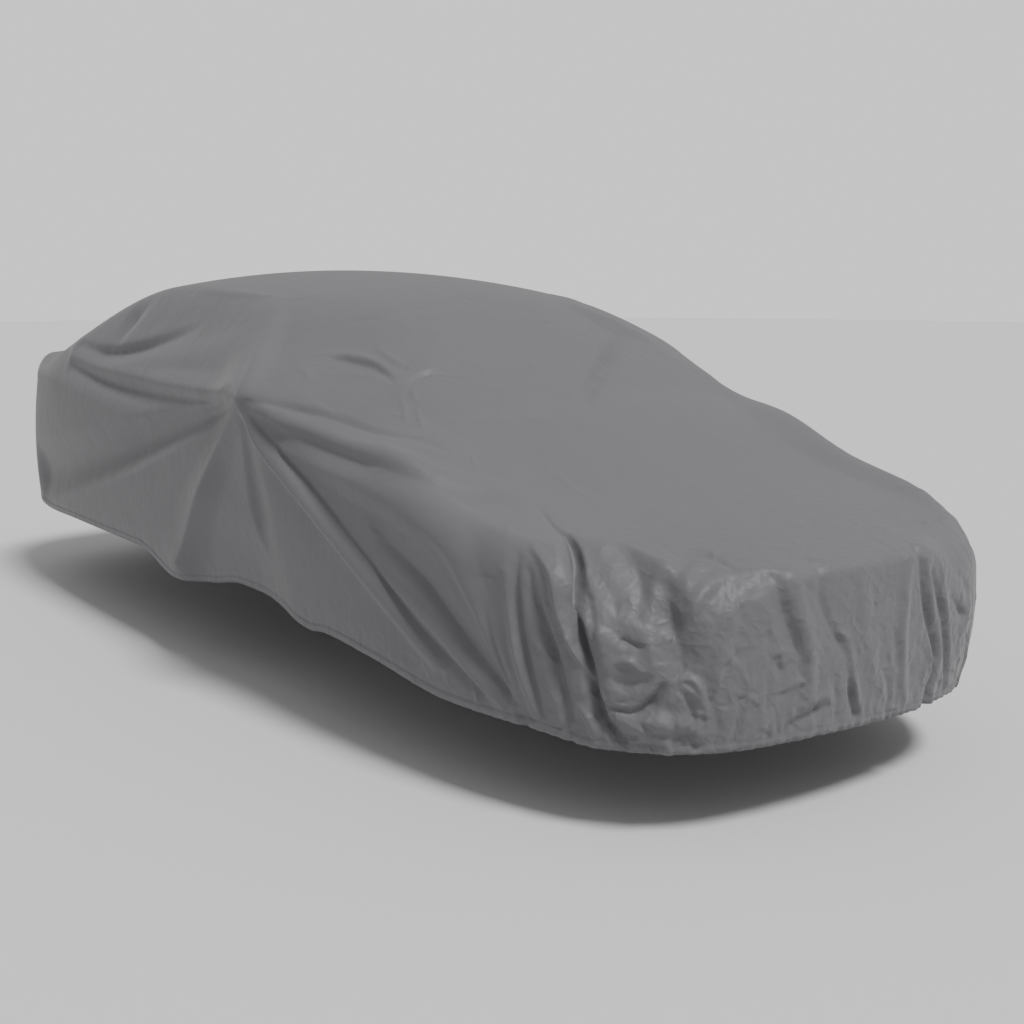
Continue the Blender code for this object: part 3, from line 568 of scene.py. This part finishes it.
         (28, 36, 34, 24), -0.2),
    Fold(((46, 52, 132), (61, 55, 126), (66, 65, 122)), (10, 28, 12), (80, 100, 80)),
    Fold(((75, 40, 122), (90, 23, 116), (103, 9, 111), (112, -5, 107)), (6, 12, 10, 4), (30, 35, 30, 24)),
    Fold(((117, -5, 105), (116, -13, 105), (120, -22, 103)), (-8, -8, -3), (22, 22, 20)),
    Fold(((57, -76, 116), (63, -76, 113), (68, -76, 111)), (2, 7, 4), (12, 14, 12)),
    Fold(((77, -81, 106), (79, -80, 105), (83, -79, 104)), (-2, -5, -2), (12, 14, 12)),
    Fold(((94, -61, 107), (99, -63, 104), (106, -67, 101)), (2, 5, 3), (12, 14, 12)),
    Fold(((102, -60, 104), (108, -63, 101), (114, -66, 100)), (2, 6, 3), (12, 14, 12)),
    Fold(((50, -56, 127), (48, -49, 130), (52, -43, 130)), (-2, -6, -3), (30, 30, 25)),
    Fold(((52, -35, 132), (49, -17, 135), (43, -1, 137)), (-3, -7, -3), (60, 70, 60)),
    # front deck
    Fold(((146, -43, 90), (157, -43, 85), (169, -43, 82)), (1, 4, 2), (30, 30, 30)),
    Fold(((132, -40, 97), (135, -33, 96), (136, -24, 96)), (1, 3, 1), (15, 15, 15)),
    Fold(((136, -63, 93), (139, -64, 91), (142, -65, 90)), (2, 5, 2), (10, 12, 10)),
]
leftPeak = peaks[1].foot
leftFolds = [
    Fold((leftPeak, (56, 92, 70), (60, 92, 33)), (14, 36, 42), (60, 120, 170), 0, "sharp"),
    Fold((leftPeak, (114, 91, 60), (174, 85, 31)), (12, 38, 14), (40, 70, 80)),
    Fold((leftPeak, (100, 88, 90), (150, 84, 78)), (10, 22, 6), (50, 80, 100)),
    Fold((leftPeak, (-35, 89, 100), (-150, 86, 106)), (12, 30, 10), (60, 90, 110)),
    Fold((leftPeak, (10, 92, 70), (-40, 92, 36)), (12, 34, 36), (50, 100, 160), 0, "sharp"),
    Fold((leftPeak, (32, 77, 121), (18, 62, 137)), (10, 10, 3), (50, 50, 50)),
    Fold(((62, 90, 93), (120, 91, 66), (172, 87, 40)), (-12, -40, -10), (30, 50, 50)),
    Fold(((36, 91, 90), (-60, 92, 72), (-170, 88, 58)), (-10, -32, -14), (40, 110, 160)),
    Fold(((42, 90, 98), (-50, 90, 96), (-140, 87, 103)), (-12, -32, -10), (30, 55, 50)),
    Fold(((-130, 81, 115), (-90, 82, 112), (-30, 77, 125)), (-10, -26, -4), (50, 70, 60)),
    Fold((leftPeak, (85, 84, 102), (120, 80, 95)), (2, 20, 16), (60, 120, 160)),
    Fold(((120, 80, 95), (156, 80, 87), (188, 76, 80), (212, 68, 74)), (16, 32, 26, 6),
         (180, 170, 140, 100)),
    Fold(((130, 91, 50), (156, 89, 40), (180, 85, 29)), (6, 18, 10), (30, 40, 30)),
    Fold(((174, 87, 60), (182, 85, 44), (190, 83, 29)), (-6, -20, -12), (30, 35, 30)),
    Fold(((184, 84, 70), (192, 83, 50), (198, 80, 29)), (5, 18, 14), (30, 40, 40)),
    Fold(((198, 81, 66), (205, 80, 52), (210, 77, 32)), (-6, -30, -30), (20, 40, 45)),
    Fold(((220, 62, 68), (226, 64, 54), (227, 62, 38)), (-10, -26, -14), (40, 70, 60)),
]
# Gathers that the elastic draws in at the tail, as upright folds.
Gather = namedtuple("Gather", "y drift rise")
tailGathers = [
    Gather(-0.64, 0.02, 0.008), Gather(-0.53, 0.02, -0.012),
    Gather(-0.44, -0.04, 0.012), Gather(-0.35, -0.03, -0.024), Gather(-0.24, 0.03, 0.020),
    Gather(-0.13, 0.02, -0.014), Gather(-0.05, -0.04, 0.016), Gather(0.05, -0.05, -0.026),
    Gather(0.16, 0.05, 0.022), Gather(0.26, 0.02, -0.012), Gather(0.37, -0.03, 0.014),
    Gather(0.47, 0.04, -0.022), Gather(0.58, 0.05, 0.020), Gather(0.67, -0.02, -0.016),
]


gatherHang = {
    "top": (-2.37, 0.92), "middle": (-2.42, 0.66), "bottom": (-2.40, 0.38),   # x and height
    "topShare": 0.3, "reach": (0.035, 0.05, 0.05),
}


def tailFold(gather):
    (topX, topZ), (middleX, middleZ), (bottomX, bottomZ) = (
        gatherHang["top"], gatherHang["middle"], gatherHang["bottom"])
    top = (topX, gather.y, topZ)
    middle = (middleX, gather.y + gather.drift / 2, middleZ)
    bottom = (bottomX, gather.y + gather.drift, bottomZ)
    return Fold((top, middle, bottom), (gather.rise * gatherHang["topShare"], gather.rise, gather.rise),
                gatherHang["reach"])


def inMetres(fold):
    path = [point if point in (peak, leftPeak) else tuple(value / 100 for value in point)
            for point in fold.path]   # the feet of the peaks are in metres already
    rise, reach = [tuple(value / 1000 for value in values) for values in (fold.rise, fold.reach)]
    return fold._replace(path=path, rise=rise, reach=reach)


def foldLine(fold, steps=5):
    knots = np.array(fold.path, dtype=float)
    before = np.vstack((2 * knots[0] - knots[1], knots[:-2]))
    after = np.vstack((knots[2:], 2 * knots[-1] - knots[-2]))
    leave, arrive = (knots[1:] - before) / 2, (after - knots[:-1]) / 2
    line = [bridge(t, knots[:-1], leave, knots[1:], arrive)
            for t in np.linspace(0, 1, steps, endpoint=False)]
    return np.vstack((np.stack(line, axis=1).reshape(-1, 3), knots[-1:]))


def spread(place, values):
    return np.interp(place, np.linspace(0, 1, len(values)), values)


def foldRise(points, normals, fold):
    line = foldLine(fold)
    widest = max(fold.reach) * (1 + abs(fold.lean))
    middle = line.mean(axis=0)
    radius = np.linalg.norm(line - middle, axis=1).max() + widest + lineSlack
    near = np.nonzero(np.sum((points - middle) ** 2, axis=1) < radius**2)[0]
    points, normals = points[near], normals[near]
    nearest = np.full(len(points), np.inf)
    place = np.zeros(len(points))
    side = np.zeros(len(points))
    for i in range(len(line) - 1):
        away = points - line[i]
        height = np.sum(away * normals, axis=1)
        run = line[i + 1] - line[i]
        flatRun = run - normals * (normals @ run)[:, None]
        flatAway = away - normals * height[:, None]
        length = np.maximum(np.sum(flatRun**2, axis=1), 1e-12)
        t = np.clip(np.sum(flatAway * flatRun, axis=1) / length, 0, 1)
        flat = flatAway - t[:, None] * flatRun
        beyond = np.maximum(np.abs(height - t * (normals @ run)) - lineSlack, 0)
        distance = np.sqrt(np.sum(flat**2, axis=1) + beyond**2)
        closer = distance < nearest
        nearest = np.where(closer, distance, nearest)
        place = np.where(closer, (i + t) / (len(line) - 1), place)
        side = np.where(closer, np.sign(np.sum(np.cross(run, normals) * flat, axis=1)), side)
    reach = spread(place, fold.reach) * (1 + fold.lean * side)
    share = np.clip(nearest / reach, 0, 1)
    rounded = fold.crest == "round" or not fold.crest and sum(fold.rise) > 0
    profile = (1 - share**2) ** 2 if rounded else (1 - share) ** sharpCurve
    return near, spread(place, fold.rise) * profile


def foldsLift(points, normals, folds):
    ridge = np.zeros(len(points))
    trough = np.zeros(len(points))
    for fold in folds:
        near, rise = foldRise(points, normals, fold)
        ridge[near] = np.maximum(ridge[near], rise)
        trough[near] = np.minimum(trough[near], rise)
    return ridge + trough


# Small stray creases, thick where the cloth is slack and sparse where it is taut.
stray = {
    "count": 420, "seed": 11, "length": (0.03, 0.13), "rise": (0.0015, 0.0055), "reach": (0.008, 0.018),
    "turn": 0.75,      # spread of their direction from upright, in radians
    "bend": 0.25,
    "smallest": 0.35,
    "endShare": 0.15,
}
# Where it is slack: how much, and the middle and half length or the start and length of each fade.
slackPlaces = {
    "anywhere": 0.04, "nose": 0.8, "tail": 0.6, "hem": 0.25, "slope": 0.22,
    "cornerX": (2.2, 0.28), "cornerY": (0.62, 0.22), "slopeX": (0.85, 0.35), "slopeY": (0.45, 0.35),
    "slopeFoot": 0.9, "endX": (2.2, 0.12), "noseTop": (0.72, 0.25), "tailTop": (0.95, 0.3),
    "hemTop": (0.50, 0.2),
}


def patch(x, y, alongX, alongY):
    (middleX, halfX), (middleY, halfY) = slackPlaces[alongX], slackPlaces[alongY]
    return np.exp(-((x - middleX) / halfX) ** 2 - ((np.abs(y) - middleY) / halfY) ** 2)


def under(z, name):
    top, depth = slackPlaces[name]
    return ramp(-z, -top, depth)


def slackness(points):
    x, y, z = points.T
    atNose = ramp(x, *slackPlaces["endX"]) * under(z, "noseTop")
    atTail = ramp(-x, *slackPlaces["endX"]) * under(z, "tailTop")
    onSlope = patch(x, y, "slopeX", "slopeY") * (z > slackPlaces["slopeFoot"])
    return (slackPlaces["anywhere"] + patch(x, y, "cornerX", "cornerY") + slackPlaces["nose"] * atNose
            + slackPlaces["tail"] * atTail + slackPlaces["hem"] * under(z, "hemTop")
            + slackPlaces["slope"] * onSlope)


def evened(values):
    values = (np.roll(values, 1, 1) + 2 * values + np.roll(values, -1, 1)) / 4
    rings = np.concatenate((values[:1], values, values[-1:]))
    return (rings[:-2] + 2 * values + rings[2:]) / 4


def strayCreases(points, normals):
    random = np.random.default_rng(stray["seed"])
    weight = slackness(points)
    picks = random.choice(len(points), stray["count"], p=weight / weight.sum())
    creases = []
    for pick in picks:
        upward = np.cross(normals[pick], np.cross((0.0, 0.0, 1.0), normals[pick]) + 1e-6)
        aside = np.cross(normals[pick], upward)
        turn = random.normal(0.0, stray["turn"])
        way = upward * math.cos(turn) + aside * math.sin(turn)
        way = way / np.linalg.norm(way) * random.uniform(*stray["length"]) / 2
        bend = np.cross(normals[pick], way) * random.uniform(-stray["bend"], stray["bend"])
        path = (points[pick] - way, points[pick] + bend, points[pick] + way)
        size = min(1.0, stray["smallest"] + weight[pick])
        rise = random.uniform(*stray["rise"]) * size * random.choice((-1, 1))
        ends = rise * stray["endShare"]
        creases.append(Fold(path, (ends, rise, ends), (random.uniform(*stray["reach"]),)))
    return creases


def hemLift(grid, above):
    bottom = grid[0]
    steps = np.linalg.norm(np.diff(bottom, axis=0, append=bottom[:1]), axis=1)
    arc = np.cumsum(steps)
    wave = 0.0
    for name in ("pucker", "crimp"):
        swing, length = hem[name + "Drift"]
        drift = swing * np.sin(2 * math.pi * arc / length)
        wave = wave + hem[name + "Share"] * np.sin(2 * math.pi * arc / hem[name] + drift)
    atEnds = ramp(np.abs(bottom[:, 0]), *hem["ends"])
    amount = hem["depth"] + hem["endDepth"] * atEnds
    puckers = (wave * amount)[None, :] * np.exp(-above / (hem["fade"] + hem["endFade"] * atEnds))
    band = np.where(above < hem["band"], hem["proud"], 0.0)
    stitchLine = np.abs(above - hemHeights[hem["stitchRing"]]) < hem["stitchWidth"]
    return puckers + np.where(stitchLine, -hem["groove"], band)


def foldedGrid():
    grid, above = tightGrid()
    normals = gridNormals(grid)
    for turn in range(cloth["calming"]):  # so that deep troughs don't cross at an edge
        normals = evened(normals)
    normals /= np.linalg.norm(normals, axis=2)[..., None]
    points, flatNormals = grid.reshape(-1, 3), normals.reshape(-1, 3)
    folds = [inMetres(fold) for fold in shownFolds + leftFolds]
    folds += [tailFold(gather) for gather in tailGathers]
    lift = evened(foldsLift(points, flatNormals, folds).reshape(grid.shape[:2]))
    lift = (lift + hemLift(grid, above)).reshape(-1)
    for crease in strayCreases(points, flatNormals):
        near, rise = foldRise(points, flatNormals, crease)
        lift[near] += rise
    moved = points + flatNormals * lift[:, None]
    for pulled in peaks:
        foot, tip = np.array(pulled.foot), np.array(pulled.tip)
        share = np.clip(1 - np.linalg.norm(points - foot, axis=1) / pulled.reach, 0, 1)
        moved += (tip - foot) * share[:, None] ** cloth["peakCurve"]
    moved[:, 2] -= restHeight
    return moved.reshape(grid.shape), normals


def makeCloth(grid):
    rings, columns = grid.shape[:2]
    index = np.arange(rings * columns).reshape(rings, columns)
    turned = np.roll(index, -1, 1)
    faces = np.stack([turned[:-1], index[:-1], index[1:], turned[1:]], axis=2).reshape(-1, 4)
    mesh = bpy.data.meshes.new("coverCloth")
    mesh.from_pydata(grid.reshape(-1, 3).tolist(), [], faces.tolist())
    bm = bmesh.new()
    bm.from_mesh(mesh)
    bm.verts.ensure_lookup_table()
    bmesh.ops.remove_doubles(bm, verts=bm.verts[(rings - 1) * columns:], dist=cloth["poleGap"])
    bmesh.ops.dissolve_degenerate(bm, edges=bm.edges[:], dist=cloth["sliver"])
    bmesh.ops.triangulate(bm, faces=bm.faces[:])
    bmesh.ops.recalc_face_normals(bm, faces=bm.faces[:])
    bm.to_mesh(mesh)
    bm.free()
    raw = bpy.data.objects.new("rawCloth", mesh)
    bpy.context.scene.collection.objects.link(raw)
    simplify = raw.modifiers.new("simplify", "DECIMATE")
    simplify.ratio = min(1.0, cloth["facesKept"] / len(mesh.polygons))
    thicken = raw.modifiers.new("thickness", "SOLIDIFY")
    thicken.thickness = cloth["thickness"]
    thicken.offset = -1.0
    bpy.context.view_layer.update()
    baked = bpy.data.meshes.new_from_object(raw.evaluated_get(bpy.context.evaluated_depsgraph_get()))
    bpy.data.objects.remove(raw, do_unlink=True)
    baked.name = "coverCloth"
    baked.shade_smooth()
    piece = bpy.data.objects.new("coverCloth", baked)
    bpy.context.scene.collection.objects.link(piece)
    return piece


# Non-woven cloth.
nonwoven = {
    "dark": (0.112, 0.111, 0.118, 1.0),
    "light": (0.148, 0.146, 0.155, 1.0),
    "broad": (1.4, 3.0),   # these are scale, detail, roughness and distortion of a noise
    "patches": (9.0, 4.0, 0.6),
    "fibre": (420.0, 3.0, 0.65),
    "soft": (7.0, 2.0, 0.5),
    "crumple": (38.0, 4.0, 0.6, 0.3),
    "crinkles": (15.0, 2.0, 0.45, 0.25),
    "embossScale": 330.0,
    "shades": (0.4, 0.35, 0.25),   # shares of broad, patches and fibre in the colour
    "softDepth": 0.004,
    "crumpleDepth": 0.0006,
    "fibreDepth": 0.00016,
    "embossDepth": 0.00012,
    "crinkleDepth": 0.0025,   # of the fine crinkles on taut cloth
    "slackDepth": 0.013,      # on top of that where the cloth hangs slack: nose and low sides
    "roughness": 0.5,
    "roughnessSpread": 0.12,
    "gloss": 0.28,
    "sheen": 0.12,
    "sheenRoughness": 0.5,
}
# Level where a fade begins, its steepness, and its least and greatest value.
crinkleFades = {
    "nose": (1.75, 2.6, 0.0, 1.0), "low": (-0.98, -4.0, 0.0, 0.45), "under": (-0.5, -3.0, 0.12, 1.0),
}


def nonwovenFinish():
    finish = Finish("nonwoven")
    broad, patches, fibre = [finish.grain(*nonwoven[name]) for name in ("broad", "patches", "fibre")]
    emboss = finish.add("ShaderNodeTexVoronoi", {}, {"Vector": finish.place,
                                                     "Scale": nonwoven["embossScale"]}, "Distance")
    broadShare, patchShare, fibreShare = nonwoven["shades"]
    shade = broad * broadShare + patches * patchShare + fibre * fibreShare
    finish.feed(finish.skin.inputs["Base Color"],
                finish.blend(shade, nonwoven["dark"], nonwoven["light"]))
    finish.feed(finish.skin.inputs["Roughness"],
                nonwoven["roughness"] + (patches - 0.5) * nonwoven["roughnessSpread"])
    finish.skin.inputs["Specular IOR Level"].default_value = nonwoven["gloss"]
    finish.skin.inputs["Sheen Weight"].default_value = nonwoven["sheen"]
    finish.skin.inputs["Sheen Roughness"].default_value = nonwoven["sheenRoughness"]

    def fade(axis, name):
        level, steepness, least, most = crinkleFades[name]
        place = finish.add("ShaderNodeSeparateXYZ", {}, {"Vector": finish.place}, axis)
        return ((place - level) * steepness).atLeast(least).atMost(most)

    slack = (fade("X", "nose") * fade("Z", "under")).atLeast(fade("Z", "low"))
    crinkles = (finish.grain(*nonwoven["crinkles"]) - 0.5).size()
    depth = nonwoven["crinkleDepth"] + slack * nonwoven["slackDepth"]
    height = (finish.grain(*nonwoven["soft"]) * nonwoven["softDepth"]
              + finish.grain(*nonwoven["crumple"]) * nonwoven["crumpleDepth"]
              + fibre * nonwoven["fibreDepth"] + emboss * nonwoven["embossDepth"] - crinkles * depth)
    finish.feed(finish.skin.inputs["Normal"], finish.relief(height))
    return finish.material


# Stitches along the hem.
stitch = {
    "pitch": 0.006, "length": 0.0042, "width": 0.0011, "proud": 0.0006,
    "dark": (0.10, 0.10, 0.106, 1.0), "light": (0.19, 0.19, 0.20, 1.0), "grain": (160.0, 2.0),
    "roughness": 0.6,
}


def threadFinish():
    finish = Finish("thread")
    finish.feed(finish.skin.inputs["Base Color"],
                finish.blend(finish.grain(*stitch["grain"]), stitch["dark"], stitch["light"]))
    finish.skin.inputs["Roughness"].default_value = stitch["roughness"]
    return finish.material


def stitchTree():
    tree = bpy.data.node_groups.new("hemStitches", "GeometryNodeTree")
    tree.interface.new_socket("Seam", in_out="INPUT", socket_type="NodeSocketGeometry")
    for name in ("Pitch", "Length", "Width"):
        tree.interface.new_socket(name, in_out="INPUT", socket_type="NodeSocketFloat")
    tree.interface.new_socket("Thread", in_out="INPUT", socket_type="NodeSocketMaterial")
    tree.interface.new_socket("Stitches", in_out="OUTPUT", socket_type="NodeSocketGeometry")
    start, end = tree.nodes.new("NodeGroupInput"), tree.nodes.new("NodeGroupOutput")
    seam = tree.nodes.new("GeometryNodeMeshToCurve")
    spots = tree.nodes.new("GeometryNodeCurveToPoints")
    spots.mode = "LENGTH"
    bead = tree.nodes.new("GeometryNodeMeshIcoSphere")
    bead.inputs["Radius"].default_value = 0.5   # one across, so that its scale is its size
    bead.inputs["Subdivisions"].default_value = 1
    size = tree.nodes.new("ShaderNodeCombineXYZ")
    sewn = tree.nodes.new("GeometryNodeInstanceOnPoints")
    real = tree.nodes.new("GeometryNodeRealizeInstances")
    dyed = tree.nodes.new("GeometryNodeSetMaterial")
    for source, target in (
            (start.outputs["Seam"], seam.inputs[0]), (seam.outputs[0], spots.inputs["Curve"]),
            (start.outputs["Pitch"], spots.inputs["Length"]),
            (spots.outputs["Points"], sewn.inputs["Points"]),
            (spots.outputs["Rotation"], sewn.inputs["Rotation"]), (bead.outputs[0], sewn.inputs["Instance"]),
            (start.outputs["Width"], size.inputs[0]), (start.outputs["Width"], size.inputs[1]),
            (start.outputs["Length"], size.inputs[2]), (size.outputs[0], sewn.inputs["Scale"]),
            (sewn.outputs[0], real.inputs[0]), (real.outputs[0], dyed.inputs["Geometry"]),
            (start.outputs["Thread"], dyed.inputs["Material"]), (dyed.outputs[0], end.inputs[0])):
        tree.links.new(source, target)
    return tree


def makeStitches(grid, normals):
    ring = hem["stitchRing"]
    line = grid[ring] + normals[ring] * stitch["proud"]
    count = len(line)
    mesh = bpy.data.meshes.new("seamLine")
    mesh.from_pydata(line.tolist(), [(i, (i + 1) % count) for i in range(count)], [])
    raw = bpy.data.objects.new("seamLine", mesh)
    bpy.context.scene.collection.objects.link(raw)
    sewing = raw.modifiers.new("stitches", "NODES")
    sewing.node_group = stitchTree()
    values = {"Pitch": stitch["pitch"], "Length": stitch["length"], "Width": stitch["width"],
              "Thread": threadFinish()}
    for socket in sewing.node_group.interface.items_tree:
        if socket.name in values:
            sewing[socket.identifier] = values[socket.name]
    bpy.context.view_layer.update()
    baked = bpy.data.meshes.new_from_object(raw.evaluated_get(bpy.context.evaluated_depsgraph_get()))
    bpy.data.objects.remove(raw, do_unlink=True)
    baked.name = "hemStitches"
    piece = bpy.data.objects.new("hemStitches", baked)
    bpy.context.scene.collection.objects.link(piece)
    return piece


grid, normals = foldedGrid()
print("cloth folded")
cover = makeCloth(grid)
cover.data.materials.clear()
cover.data.materials.append(nonwovenFinish())
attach(cover, "root")
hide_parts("cover")
stitches = makeStitches(grid, normals)
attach(stitches, "root")
print("hem stitched", len(stitches.data.polygons))
print("cloth made", len(cover.data.polygons))


# Floor and light.
studio = {
    "floor": (0.68, 0.68, 0.68, 1.0),
    "floorRadius": 30.0,
    "floorRoughness": 0.8,
    "sky": 0.48,          # what lights the cloth
    "backdrop": 1.0,      # what the camera sees behind it
    "sun": 3.15,
    "sunFrom": (0.54, 0.05, 1.0),
    "sunSpread": 15.0,    # degrees: a wide, soft source
}


def makeFloor():
    bm = bmesh.new()
    bmesh.ops.create_circle(bm, cap_ends=True, segments=96, radius=studio["floorRadius"])
    bmesh.ops.translate(bm, verts=bm.verts[:], vec=(0, 0, -restHeight))
    mesh = bpy.data.meshes.new("floor")
    bm.to_mesh(mesh)
    bm.free()
    floor = bpy.data.objects.new("floor", mesh)
    bpy.context.scene.collection.objects.link(floor)
    finish = Finish("paleFloor")
    finish.skin.inputs["Base Color"].default_value = studio["floor"]
    finish.skin.inputs["Roughness"].default_value = studio["floorRoughness"]
    mesh.materials.append(finish.material)


def makeLight():
    world = bpy.data.worlds.new("studio")
    world.use_nodes = True
    tree = world.node_tree
    sky = tree.nodes["Background"]
    sky.inputs["Color"].default_value = (1.0, 1.0, 1.0, 1.0)
    sky.inputs["Strength"].default_value = studio["sky"]
    backdrop = tree.nodes.new("ShaderNodeBackground")
    backdrop.inputs["Color"].default_value = (1.0, 1.0, 1.0, 1.0)
    backdrop.inputs["Strength"].default_value = studio["backdrop"]
    path = tree.nodes.new("ShaderNodeLightPath")
    either = tree.nodes.new("ShaderNodeMixShader")
    tree.links.new(path.outputs["Is Camera Ray"], either.inputs[0])
    tree.links.new(sky.outputs[0], either.inputs[1])
    tree.links.new(backdrop.outputs[0], either.inputs[2])
    tree.links.new(either.outputs[0], tree.nodes["World Output"].inputs["Surface"])
    bpy.context.scene.world = world
    data = bpy.data.lights.new("sun", "SUN")
    data.energy = studio["sun"]
    data.angle = math.radians(studio["sunSpread"])
    sun = bpy.data.objects.new("sun", data)
    sun.location = (0.0, 0.0, 5.0)
    sun.rotation_euler = Vector(studio["sunFrom"]).to_track_quat("Z", "Y").to_euler()
    bpy.context.scene.collection.objects.link(sun)


makeFloor()
makeLight()
